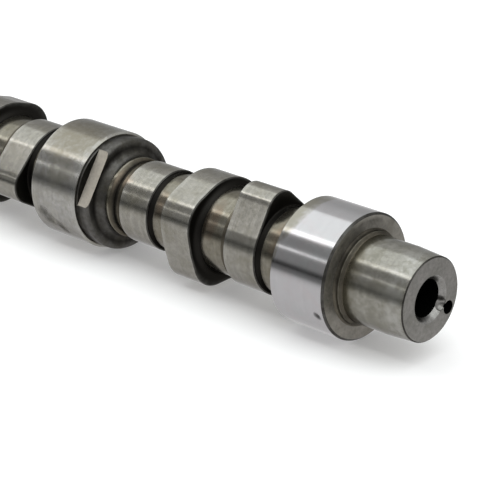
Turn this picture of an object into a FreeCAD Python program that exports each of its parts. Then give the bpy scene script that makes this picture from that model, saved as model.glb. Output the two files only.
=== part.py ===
import FreeCAD, Part
import math
import os

# One-piece camshaft, lying along X with its nose towards +X and its axis at y = z = 0.
# The origin is the centre of the front bearing journal.
# Lengths are in millimetres. Angles are in degrees, from +Y towards +Z.

# The row of cylinders. The front journal stands a little further forward than the pitch alone gives.
cylinder_count = 4
cylinder_pitch = 142.75
front_journal_lead = 3.5
lobe_turns = (0.0, 90.0, 270.0, 180.0)

# Bearing journals
journal_radius = 27.0
journal_width = 28.7
journal_chamfer = 0.9

# Turned necks, from each journal back to the next one
neck_behind_journal = 18.8
neck_behind_front_lobe = 18.65
neck_behind_middle_lobe = 17.2
neck_behind_rear_lobe = 18.05
journal_fillet = 2.5

# Forged roots, which rise from a neck to the side of a lobe
root_length = 2.6
root_step = 0.9

# Front valve lobe of each cylinder. The first one is this far behind the front journal's centre.
front_lobe_back = 37.75
front_lobe_width = 17.7
front_lobe_base = 20.2
front_lobe_lift = 6.65
front_lobe_nose = 9.3
front_lobe_angle = 98.5

# Middle lobe, a round one set off centre with three low noses
middle_lobe_back = 71.8
middle_lobe_width = 17.0
middle_lobe_base = 23.4
middle_lobe_offset = 1.2
middle_lobe_offset_angle = -40.0
middle_lobe_lift = 2.35
middle_lobe_nose = 14.5
middle_lobe_angles = (152.5, 235.0, 306.0)

# Rear valve lobe of each cylinder
rear_lobe_back = 102.75
rear_lobe_width = 17.7
rear_lobe_base = 18.5
rear_lobe_lift = 7.7
rear_lobe_nose = 9.3
rear_lobe_angle = 0.0

# Broken edge on every lobe
lobe_chamfer = 0.5

# Forged collar in front of the second journal, with one milled flat.
# Its ring is sunk a little into the journal and the neck, so that they join.
collar_radius = 25.7
collar_width = 8.0
collar_rim = 1.6
collar_fillet = 3.9
collar_sunk = 1.0
flat_height = 22.0
flat_angle = 148.0
flat_length = 6.4

# Nose for the drive gear
nose_length = 32.9
nose_radius = 18.65
nose_straight = 20.0
nose_end_radius = 17.8
nose_chamfer = 0.5
shoulder_radius = 19.8
shoulder_length = 2.0
shoulder_slope = 0.8
shoulder_fillet = 1.2

# Blind hole in the nose, with a coned mouth
bore_radius = 8.0
bore_depth = 42.0
mouth_radius = 9.9
mouth_depth = 2.2
drill_point_angle = 118.0

# Dowel hole beside it, and the rounded relief that joins the two.
# The relief is part of a ball whose centre stands a little outside the nose.
dowel_radius = 2.9
dowel_depth = 10.0
dowel_place_radius = 13.6
dowel_angle = -30.7
relief_radius = 3.4
relief_place_radius = 9.6
relief_angle = -31.0
relief_rise = 0.9

# Sizes that follow from those above
half_journal = journal_width / 2
thrust_face = half_journal
nose_face = thrust_face + nose_length
along_x = FreeCAD.Vector(1, 0, 0)
shaft_start = FreeCAD.Vector(0, 0, 0)
smallest_edge = 1e-6


def journal_faces(number):
    """Rear and front face of a journal along the shaft, the front one being number 0."""
    centre = 0 if number == 0 else -front_journal_lead - number * cylinder_pitch
    return centre - half_journal, centre + half_journal


far_face = journal_faces(cylinder_count)[0]


def section(x, radius):
    """Point of the half section at a place along the shaft and a radius."""
    return FreeCAD.Vector(x, 0, radius)


def in_lobe_plane(radius, angle):
    """Point or direction across the shaft, from its radius and angle."""
    turn = math.radians(angle)
    return FreeCAD.Vector(0, radius * math.cos(turn), radius * math.sin(turn))


class HalfSection:
    """Half section of a turned solid, drawn as lines and quarter arcs from its first point."""

    def __init__(self, x, radius):
        self.edges = []
        self.start = section(x, radius)
        self.last = self.start

    def line(self, x, radius):
        """Straight edge to a new point."""
        point = section(x, radius)
        if point.distanceToPoint(self.last) > smallest_edge:
            self.edges.append(Part.LineSegment(self.last, point).toShape())
            self.last = point

    def quarter(self, x, radius, centre_x, centre_radius_there):
        """Quarter arc to a new point, about a centre that both ends are as far from."""
        centre = section(centre_x, centre_radius_there)
        end = section(x, radius)
        middle_way = (self.last + end) * 0.5 - centre
        reach = end.distanceToPoint(centre)
        middle = centre + middle_way * (reach / middle_way.Length)
        self.edges.append(Part.Arc(self.last, middle, end).toShape())
        self.last = end

    def turned(self):
        """Solid of the closed half section turned about the shaft's axis."""
        self.line(self.start.x, self.start.z)
        face = Part.Face(Part.Wire(self.edges))
        return face.revolve(shaft_start, along_x, 360)


def add_journal(half, number):
    """Journal from its rear face to its front face, chamfered at both rims."""
    rear, front = journal_faces(number)
    rim = journal_radius - journal_chamfer
    half.line(rear, rim)
    half.line(rear + journal_chamfer, journal_radius)
    half.line(front - journal_chamfer, journal_radius)
    half.line(front, rim)


def add_lobe_root(half, centre, width, root_radius, neck_rear, neck_front):
    """Core under one lobe: a coned root on each side, from the rear neck to the front one."""
    half.line(centre - width / 2 - root_length, neck_rear)
    half.line(centre - width / 2, root_radius)
    half.line(centre + width / 2, root_radius)
    half.line(centre + width / 2 + root_length, neck_front)


def middle_lobe_low_radius():
    """Smallest radius of the middle lobe, opposite the way it is set off centre."""
    return middle_lobe_base - middle_lobe_offset


def turned_core():
    """Everything that is round about the axis, but for the collar."""
    half = HalfSection(far_face, 0)
    for number in reversed(range(cylinder_count)):
        cylinder = -number * cylinder_pitch
        neck_rear = journal_faces(number + 1)[1]
        neck_front = journal_faces(number)[0]

        add_journal(half, number + 1)
        half.line(neck_rear, neck_behind_rear_lobe + journal_fillet)
        half.quarter(neck_rear + journal_fillet, neck_behind_rear_lobe,
                     neck_rear + journal_fillet, neck_behind_rear_lobe + journal_fillet)

        add_lobe_root(half, cylinder - rear_lobe_back, rear_lobe_width,
                      rear_lobe_base - root_step, neck_behind_rear_lobe, neck_behind_middle_lobe)
        add_lobe_root(half, cylinder - middle_lobe_back, middle_lobe_width,
                      middle_lobe_low_radius() - root_step, neck_behind_middle_lobe, neck_behind_front_lobe)
        add_lobe_root(half, cylinder - front_lobe_back, front_lobe_width,
                      front_lobe_base - root_step, neck_behind_front_lobe, neck_behind_journal)

        half.line(neck_front - journal_fillet, neck_behind_journal)
        half.quarter(neck_front, neck_behind_journal + journal_fillet,
                     neck_front - journal_fillet, neck_behind_journal + journal_fillet)

    add_journal(half, 0)
    half.line(thrust_face, shoulder_radius + shoulder_fillet)
    half.quarter(thrust_face + shoulder_fillet, shoulder_radius,
                 thrust_face + shoulder_fillet, shoulder_radius + shoulder_fillet)
    half.line(thrust_face + shoulder_length, shoulder_radius)
    half.line(thrust_face + shoulder_length + shoulder_slope, nose_radius)
    half.line(thrust_face + nose_straight, nose_radius)
    half.line(nose_face - nose_chamfer, nose_end_radius)
    half.line(nose_face, nose_end_radius - nose_chamfer)
    half.line(nose_face, 0)
    return half.turned()


def one_nose(base, lift, nose, angle, middle):
    """Face of a round base and one nose, joined by the two straight flanks that touch both."""
    reach = base + lift - nose
    flank = math.degrees(math.acos((base - nose) / reach))
    tip = middle + in_lobe_plane(reach, angle)
    leave_base = middle + in_lobe_plane(base, angle - flank)
    meet_nose = tip + in_lobe_plane(nose, angle - flank)
    leave_nose = tip + in_lobe_plane(nose, angle + flank)
    meet_base = middle + in_lobe_plane(base, angle + flank)
    top = tip + in_lobe_plane(nose, angle)
    bottom = middle - in_lobe_plane(base, angle)
    edges = [
        Part.LineSegment(leave_base, meet_nose).toShape(),
        Part.Arc(meet_nose, top, leave_nose).toShape(),
        Part.LineSegment(leave_nose, meet_base).toShape(),
        Part.Arc(meet_base, bottom, leave_base).toShape(),
    ]
    return Part.Face(Part.Wire(edges))


def lobe(centre, width, base, lift, nose, angles, middle):
    """Solid lobe across the shaft at a place along it, with its two rims broken."""
    solid = None
    for angle in angles:
        face = one_nose(base, lift, nose, angle, middle)
        face.translate(FreeCAD.Vector(centre - width / 2, 0, 0))
        tongue = face.extrude(FreeCAD.Vector(width, 0, 0))
        solid = tongue if solid is None else solid.fuse(tongue)
    solid = solid.removeSplitter()
    rims = [edge for edge in solid.Edges if edge.BoundBox.XLength < smallest_edge]
    return solid.makeChamfer(lobe_chamfer, rims)


def lobes_of_cylinder(number):
    """The three lobes of one cylinder, turned to its place in the firing order."""
    cylinder = -number * cylinder_pitch
    turn = lobe_turns[number % len(lobe_turns)]
    on_axis = FreeCAD.Vector(0, 0, 0)
    set_off = in_lobe_plane(middle_lobe_offset, middle_lobe_offset_angle + turn)
    middle_angles = [angle + turn for angle in middle_lobe_angles]
    return [
        lobe(cylinder - front_lobe_back, front_lobe_width, front_lobe_base,
             front_lobe_lift, front_lobe_nose, [front_lobe_angle + turn], on_axis),
        lobe(cylinder - middle_lobe_back, middle_lobe_width, middle_lobe_base,
             middle_lobe_lift, middle_lobe_nose, middle_angles, set_off),
        lobe(cylinder - rear_lobe_back, rear_lobe_width, rear_lobe_base,
             rear_lobe_lift, rear_lobe_nose, [rear_lobe_angle + turn], on_axis),
    ]


def collar_with_flat():
    """Forged collar against the second journal, with a flat milled across its front part."""
    back = journal_faces(1)[1]
    front = back + collar_width
    neck = neck_behind_rear_lobe
    half = HalfSection(back - collar_sunk, neck - collar_sunk)
    half.line(back - collar_sunk, collar_radius)
    half.line(front - collar_rim, collar_radius)
    half.quarter(front, collar_radius - collar_rim, front - collar_rim, collar_radius - collar_rim)
    half.line(front, neck + collar_fillet)
    half.quarter(front + collar_fillet, neck, front + collar_fillet, neck + collar_fillet)
    half.line(front + collar_fillet, neck - collar_sunk)
    ring = half.turned()

    cutter = Part.makeBox(flat_length, 2 * collar_radius, 2 * collar_radius)
    cutter.translate(FreeCAD.Vector(front - flat_length, -collar_radius, flat_height))
    cutter.rotate(shaft_start, along_x, flat_angle - 90)
    return ring.cut(cutter)


def blind_hole(mouth, direction, radius, depth):
    """Drilled blind hole, with the drill's cone at its bottom."""
    point_length = radius / math.tan(math.radians(drill_point_angle / 2))
    straight = Part.makeCylinder(radius, depth, mouth, direction)
    point = Part.makeCone(radius, 0, point_length, mouth + direction * depth, direction)
    return straight.fuse(point)


def nose_holes():
    """Everything that is drilled into the end of the nose."""
    inwards = FreeCAD.Vector(-1, 0, 0)
    nose_end = FreeCAD.Vector(nose_face, 0, 0)
    dowel_mouth = nose_end + in_lobe_plane(dowel_place_radius, dowel_angle)
    relief_centre = nose_end - inwards * relief_rise + in_lobe_plane(relief_place_radius, relief_angle)
    return [
        blind_hole(nose_end, inwards, bore_radius, bore_depth),
        Part.makeCone(mouth_radius, bore_radius, mouth_depth, nose_end, inwards),
        blind_hole(dowel_mouth, inwards, dowel_radius, dowel_depth),
        Part.makeSphere(relief_radius, relief_centre),
    ]


def camshaft():
    """The whole shaft as one solid."""
    pieces = [collar_with_flat()]
    for number in range(cylinder_count):
        pieces += lobes_of_cylinder(number)
    return turned_core().fuse(pieces).cut(nose_holes()).removeSplitter()


os.makedirs("parts", exist_ok=True)
shaft = camshaft()
shaft.exportStep("parts/camshaft.step")
print("solids", len(shaft.Solids), "valid", shaft.isValid(), "volume", round(shaft.Volume), shaft.BoundBox)
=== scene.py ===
"""Looks of a one-piece camshaft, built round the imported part.

The shaft lies along X with its drive nose towards +X. The origin is the centre of the front journal.
Angles across the shaft are counted from +Y towards +Z. The shaft's sizes are given in millimetres and
built in metres. Those of the studio and the camera are given in metres.
"""

import logging
import math
from dataclasses import dataclass, field
from enum import Enum

import bpy
import numpy as np
from mathutils import Matrix, Vector


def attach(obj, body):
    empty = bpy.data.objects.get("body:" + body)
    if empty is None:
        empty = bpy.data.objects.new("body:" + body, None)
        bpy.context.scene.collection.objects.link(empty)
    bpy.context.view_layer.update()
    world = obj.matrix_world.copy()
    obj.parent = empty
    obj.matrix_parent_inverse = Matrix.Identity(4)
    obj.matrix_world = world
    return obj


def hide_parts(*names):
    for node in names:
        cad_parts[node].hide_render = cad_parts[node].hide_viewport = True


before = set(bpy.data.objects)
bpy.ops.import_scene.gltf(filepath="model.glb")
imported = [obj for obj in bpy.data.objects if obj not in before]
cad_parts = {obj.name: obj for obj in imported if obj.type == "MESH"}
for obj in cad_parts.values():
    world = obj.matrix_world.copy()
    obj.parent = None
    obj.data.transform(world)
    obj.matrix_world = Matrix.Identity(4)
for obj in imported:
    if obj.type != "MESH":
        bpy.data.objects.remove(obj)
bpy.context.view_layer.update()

MM = 0.001
LOG = logging.getLogger("camshaft")

Color = tuple[float, float, float]
Fade = tuple[float, float, float, float]
Socket = bpy.types.NodeSocket
Tree = bpy.types.NodeTree
Thing = bpy.types.Object


# Plain values of the whole object

@dataclass(frozen=True)
class LobePlace:
    """Where one kind of lobe stands behind its cylinder's place, in millimetres."""

    middle: float
    width: float
    root_length: float = 2.6

    @property
    def feet(self) -> tuple[float, float]:
        """How far back the feet of its rear root and its front root stand."""
        half = self.width / 2 + self.root_length
        return self.middle + half, self.middle - half


@dataclass(frozen=True)
class Layout:
    """Where the journals, the cylinders and their lobes stand along the shaft, in millimetres."""

    cylinder_count: int = 4
    cylinder_pitch: float = 142.75
    front_journal_lead: float = 3.5
    journal_radius: float = 27.0
    journal_width: float = 28.7
    lobe_turns: tuple[float, ...] = (0.0, 90.0, 270.0, 180.0)
    front_lobe: LobePlace = LobePlace(37.75, 17.7)
    middle_lobe: LobePlace = LobePlace(71.8, 17.0)
    rear_lobe: LobePlace = LobePlace(102.75, 17.7)
    buried_radius: float = 14.0

    def cylinder(self, number: int) -> float:
        """Place that the lobes of one cylinder are counted back from."""
        return -number * self.cylinder_pitch

    def journal_faces(self, number: int) -> tuple[float, float]:
        """Rear and front face of one journal, the front one being number 0."""
        centre = 0.0 if number == 0 else self.cylinder(number) - self.front_journal_lead
        return centre - self.journal_width / 2, centre + self.journal_width / 2


LAYOUT = Layout()


class Finish(Enum):
    """The finishes that the shaft's surfaces wear."""

    POLISHED = "polished_journal"
    WORN = "worn_journal"
    GROUND = "ground_lobe"
    TURNED = "turned_neck"
    FORGED = "forged_side"
    COLLAR = "collar_skin"
    FACE = "turned_face"
    MILLED = "milled_flat"
    NOSE = "nose_barrel"
    NOSE_END = "nose_end"
    ROOT = "lobe_root"
    SHOULDER = "nose_shoulder"
    RELIEF = "mouth_relief"
    DARK_EDGE = "dark_edge"
    MOUTH = "hole_mouth"
    # near black: painted shade inside the holes and on the flat's step
    SHADE_WALLS = "painted_shade_walls"


# Nodes

def join(tree: Tree, socket: Socket, value: object) -> None:
    """Links another socket to a socket, or sets it to a plain value.

    Args:
        tree: the node tree.
        socket: the socket that takes it.
        value: the other socket or the plain value.
    """
    if isinstance(value, Socket):
        tree.links.new(value, socket)
    else:
        socket.default_value = value


def add_node(tree: Tree, kind: str, links: dict[object, object], **settings: object) -> bpy.types.Node:
    """Adds one node to a tree.

    Args:
        tree: the node tree.
        kind: the node's type name.
        links: socket name or number to another socket, or to a plain value.
        settings: the node's own properties.

    Returns:
        The new node.
    """
    node = tree.nodes.new(kind)
    for label, value in settings.items():
        setattr(node, label, value)
    for label, value in links.items():
        join(tree, node.inputs[label], value)
    return node


def product(tree: Tree, first: object, second: object) -> Socket:
    """Adds the product of two values and gives its socket."""
    return add_node(tree, "ShaderNodeMath", {0: first, 1: second}, operation="MULTIPLY").outputs[0]


def carried(tree: Tree, value: object, low: object, high: object, start: object, stop: object,
            smooth: bool = True) -> Socket:
    """Carries a value over from one range to another.

    Args:
        tree: the node tree.
        value: the value.
        low: where its range begins.
        high: where its range ends.
        start: where the new range begins.
        stop: where the new range ends.
        smooth: whether it goes by a smooth step, or else in a straight line.

    Returns:
        The value in the new range.
    """
    links = {"Value": value, "From Min": low, "From Max": high, "To Min": start, "To Max": stop}
    kind = "SMOOTHSTEP" if smooth else "LINEAR"
    return add_node(tree, "ShaderNodeMapRange", links, interpolation_type=kind).outputs["Result"]


def mixed(tree: Tree, factor: Socket, first: object, second: object) -> Socket:
    """Colour between a first and a second one by a mask.

    Args:
        tree: the material's node tree.
        factor: the mask, 0 for the first colour and 1 for the second.
        first: a socket, or plain red, green and blue.
        second: a socket, or plain red, green and blue.

    Returns:
        The mixed colour.
    """
    node = add_node(tree, "ShaderNodeMix", {0: factor}, data_type="RGBA")
    for number, value in ((6, first), (7, second)):
        join(tree, node.inputs[number], value if isinstance(value, Socket) else (*value, 1.0))
    return node.outputs[2]


# Shared effects, each one node group

class Group:
    """A shader node group that works on coordinates and puts out numbers, while it is being made."""

    def __init__(self, name: str, outputs: tuple[str, ...], **inputs: float) -> None:
        """Makes the group and its sockets, the coordinates being its first input.

        Args:
            name: the group's name.
            outputs: names of the numbers that it puts out.
            inputs: starting values of the numbers that it takes in.
        """
        self.tree = bpy.data.node_groups.new(name, "ShaderNodeTree")
        sockets = self.tree.interface
        sockets.new_socket("Coordinates", in_out="INPUT", socket_type="NodeSocketVector")
        for label, value in inputs.items():
            socket = sockets.new_socket(label, in_out="INPUT", socket_type="NodeSocketFloat")
            socket.default_value = value
        for label in outputs:
            sockets.new_socket(label, in_out="OUTPUT", socket_type="NodeSocketFloat")
        self.given = self.tree.nodes.new("NodeGroupInput").outputs
        self.result = self.tree.nodes.new("NodeGroupOutput").inputs

    def node(self, kind: str, links: dict[object, object], **settings: object) -> bpy.types.Node:
        """Adds a node to the group, as add_node does."""
        return add_node(self.tree, kind, links, **settings)

    def math(self, operation: str, *values: object, clamp: bool = False) -> Socket:
        """Adds one sum to the group and gives its result."""
        links = dict(enumerate(values))
        return self.node("ShaderNodeMath", links, operation=operation, use_clamp=clamp).outputs[0]

    def noise(self, scale: object, detail: float, roughness: float = 0.6, distortion: float = 0.0,
              stretch: object = (1.0, 1.0, 1.0)) -> Socket:
        """Noise on the group's coordinates, first multiplied, axis by axis, by a stretch.

        Args:
            scale: how fast it changes over all.
            detail: number of finer layers.
            roughness: how strong the finer layers are.
            distortion: how much it is stirred.
            stretch: how much faster the noise changes along each axis.

        Returns:
            The noise, about 0.5 on average.
        """
        links = {0: self.given["Coordinates"], 1: stretch}
        placed = self.node("ShaderNodeVectorMath", links, operation="MULTIPLY")
        return self.node("ShaderNodeTexNoise", {
            "Vector": placed.outputs[0], "Scale": scale, "Detail": detail,
            "Roughness": roughness, "Distortion": distortion}).outputs["Fac"]

    def put(self, **results: Socket) -> Tree:
        """Joins sockets to the group's outputs.

        Args:
            results: output name to the socket that it puts out.

        Returns:
            The finished group.
        """
        for label, socket in results.items():
            self.tree.links.new(socket, self.result[label])
        return self.tree


def build_stains() -> Tree:
    """Soft-edged oil blotches, a little longer along the shaft, under a fine uneven mottle.

    Returns:
        The node group.
    """
    group = Group("oil_stains", ("Mask", "Mottle"), Scale=100.0, Cover=0.5, Softness=0.1)
    given = group.given
    broad = group.noise(given["Scale"], 5.0, 0.68, 0.4, stretch=(0.8, 1.0, 1.0))
    mottle = group.noise(given["Scale"], 3.0, 0.7, stretch=(5.0, 5.0, 5.0))
    middle = group.math("SUBTRACT", 1.0, given["Cover"])
    low = group.math("SUBTRACT", middle, given["Softness"])
    high = group.math("ADD", middle, given["Softness"])
    return group.put(Mask=carried(group.tree, broad, low, high, 0.0, 1.0), Mottle=mottle)


def build_tool_marks() -> Tree:
    """Fine lines that run round the shaft: noise that changes fast along it and slowly round it.

    Returns:
        The node group.
    """
    group = Group("tool_marks", ("Height", "Streaks"), Lines=2500.0, Around=40.0)
    given = group.given
    stretch = group.node("ShaderNodeCombineXYZ", {
        "X": given["Lines"], "Y": given["Around"], "Z": given["Around"]}).outputs[0]
    return group.put(Height=group.noise(1.0, 2.0, stretch=stretch),
                     Streaks=group.noise(0.3, 4.0, 0.65, stretch=stretch))


def build_turned_rings() -> Tree:
    """Rings round the shaft's axis: noise of the distance from the axis plus the place along it.

    Returns:
        The node group.
    """
    group = Group("turned_rings", ("Height",), Rings=1500.0)
    place = group.given["Coordinates"]
    across = group.node("ShaderNodeVectorMath", {0: place, 1: (0.0, 1.0, 1.0)}, operation="MULTIPLY")
    radius = group.node("ShaderNodeVectorMath", {0: across.outputs[0]}, operation="LENGTH").outputs["Value"]
    along = group.node("ShaderNodeSeparateXYZ", {"Vector": place}).outputs["X"]
    count = group.math("MULTIPLY", group.math("ADD", radius, along), group.given["Rings"])
    rings = group.node("ShaderNodeTexNoise", {"W": count, "Scale": 1.0, "Detail": 3.0}, noise_dimensions="1D")
    return group.put(Height=rings.outputs["Fac"])


def build_zone() -> Tree:
    """A painted zone whose edge is broken up by noise.

    Returns:
        The node group.
    """
    group = Group("painted_zone", ("Mask",), Zone=0.0, Scale=220.0, Ragged=0.5)
    given = group.given
    breakup = group.noise(given["Scale"], 4.0, 0.65)
    swing = group.math("MULTIPLY", group.math("SUBTRACT", breakup, 0.5), given["Ragged"])
    eased = carried(group.tree, group.math("ADD", given["Zone"], swing), 0.05, 0.95, 0.0, 1.0)
    started = carried(group.tree, given["Zone"], 0.0, 0.08, 0.0, 1.0)
    return group.put(Mask=group.math("MULTIPLY", eased, started, clamp=True))


def build_edge_wear() -> Tree:
    """The painted edge value, broken up so that a rim shines only here and there.

    Returns:
        The node group.
    """
    group = Group("edge_wear", ("Mask",), Edge=0.0, Amount=0.5)
    given = group.given
    shining = carried(group.tree, group.noise(240.0, 3.0), 0.35, 0.62, 0.15, 1.0)
    worn = group.math("MULTIPLY", given["Edge"], shining)
    return group.put(Mask=group.math("MULTIPLY", worn, given["Amount"], clamp=True))


@dataclass
class Effects:
    """The node groups that the finishes share, made once."""

    stains: Tree = field(default_factory=build_stains)
    tool_marks: Tree = field(default_factory=build_tool_marks)
    turned_rings: Tree = field(default_factory=build_turned_rings)
    zone: Tree = field(default_factory=build_zone)
    edge_wear: Tree = field(default_factory=build_edge_wear)


# Finishes

class Marks(Enum):
    """What a surface's fine relief is made of."""

    LINES = "lines round the shaft"
    RINGS = "rings on a turned face"


@dataclass(frozen=True)
class Steel:
    """One steel finish: its colours, how they are spread, its shine and its fine relief.

    The roughness is that of clean steel and that of stained steel.
    """

    clean: Color
    stain: Color
    film: Color
    roughness: tuple[float, float]
    bare_edge: Color = (0.42, 0.42, 0.40)
    # colour of the painted darkness: dark dirt and painted shade
    soot: Color = (0.020, 0.019, 0.017)
    bloom: Color = (0.195, 0.158, 0.118)
    stain_scale: float = 110.0
    stain_cover: float = 0.45
    stain_softness: float = 0.12
    film_scale: float = 380.0
    film_cover: float = 0.45
    film_softness: float = 0.14
    mottle: float = 0.12
    streaks: float = 0.10
    lines: float = 1300.0
    around: float = 14.0
    marks: Marks = Marks.LINES
    relief: float = 0.002
    edge_wear: float = 0.2
    grazing: float = 1.0
    metallic: float = 1.0
    # shine and roughness under the painted darkness of dark dirt and painted shade
    sooty_grazing: float = 0.15
    sooty_roughness: float = 0.5
    uneven_shine: float = 0.12

    def material(self, name: str, effects: Effects) -> bpy.types.Material:
        """Builds the material.

        Stains and a finer film lie over the clean steel. Mottle and streaks darken and lighten it a little.
        The painted bloom, the painted darkness of dark dirt and painted shade, and the worn rims come last.
        Stains and the painted darkness are rougher than the clean steel. Where grazing is below 1, the steel
        shines less than clean metal does at a flat angle, and under the painted darkness it hardly shines at
        all.

        Args:
            name: the material's name.
            effects: the shared node groups.

        Returns:
            The material.
        """
        material = bpy.data.materials.new(name)
        material.use_nodes = True
        tree = material.node_tree
        shader = tree.nodes["Principled BSDF"].inputs
        shader["Metallic"].default_value = self.metallic
        place = add_node(tree, "ShaderNodeTexCoord", {}).outputs["Object"]

        def painted(label: str) -> Socket:
            """Value that is painted on the piece's points."""
            return add_node(tree, "ShaderNodeAttribute", {}, attribute_name=label).outputs["Fac"]

        def effect(group: Tree, **values: object) -> bpy.types.NodeOutputs:
            """Places one shared group on the piece's own coordinates.

            Args:
                group: the group.
                values: input name to a socket or a plain value.

            Returns:
                The group's outputs.
            """
            links = {"Coordinates": place, **values}
            node = add_node(tree, "ShaderNodeGroup", {}, node_tree=group)
            for label, value in links.items():
                join(tree, node.inputs[label], value)
            return node.outputs

        def around_one(value: Socket, swing: float) -> Socket:
            """Turns noise, most of which lies between 0.3 and 0.7, into a factor about one."""
            return carried(tree, value, 0.3, 0.7, 1.0 - swing, 1.0 + swing, smooth=False)

        stains = effect(effects.stains, Scale=self.stain_scale, Cover=self.stain_cover,
                        Softness=self.stain_softness)
        film = effect(effects.stains, Scale=self.film_scale, Cover=self.film_cover,
                      Softness=self.film_softness)
        marks = effect(effects.tool_marks, Lines=self.lines, Around=self.around)
        # mask of the painted darkness: dark dirt and painted shade
        sooty = effect(effects.zone, Zone=painted("soot"), Ragged=0.8)["Mask"]
        bloomed = effect(effects.zone, Zone=painted("bloom"), Scale=330.0, Ragged=1.1)["Mask"]
        wear = effect(effects.edge_wear, Edge=painted("edge"), Amount=self.edge_wear)["Mask"]

        color = mixed(tree, stains["Mask"], self.clean, self.stain)
        color = mixed(tree, film["Mask"], color, self.film)
        for value, swing in ((stains["Mottle"], self.mottle), (marks["Streaks"], self.streaks)):
            color = add_node(tree, "ShaderNodeVectorMath", {
                0: color, "Scale": around_one(value, swing)}, operation="SCALE").outputs[0]
        for mask, tint in ((bloomed, self.bloom), (sooty, self.soot), (wear, self.bare_edge)):
            color = mixed(tree, mask, color, tint)
        tree.links.new(color, shader["Base Color"])

        shine = mixed(tree, sooty, (self.grazing,) * 3, (self.sooty_grazing,) * 3)
        tree.links.new(shine, shader["Specular Tint"])

        stained = carried(tree, stains["Mask"], 0.0, 1.0, *self.roughness, smooth=False)
        roughness = carried(tree, sooty, 0.0, 1.0, stained, self.sooty_roughness, smooth=False)
        uneven = product(tree, roughness, around_one(film["Mottle"], self.uneven_shine))
        tree.links.new(uneven, shader["Roughness"])

        relief = effect(effects.turned_rings) if self.marks is Marks.RINGS else marks
        bump = add_node(tree, "ShaderNodeBump", {"Height": relief["Height"], "Distance": self.relief * MM})
        tree.links.new(bump.outputs["Normal"], shader["Normal"])
        return material


# Each finish's first three colours are those of clean steel, stains and film

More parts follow.
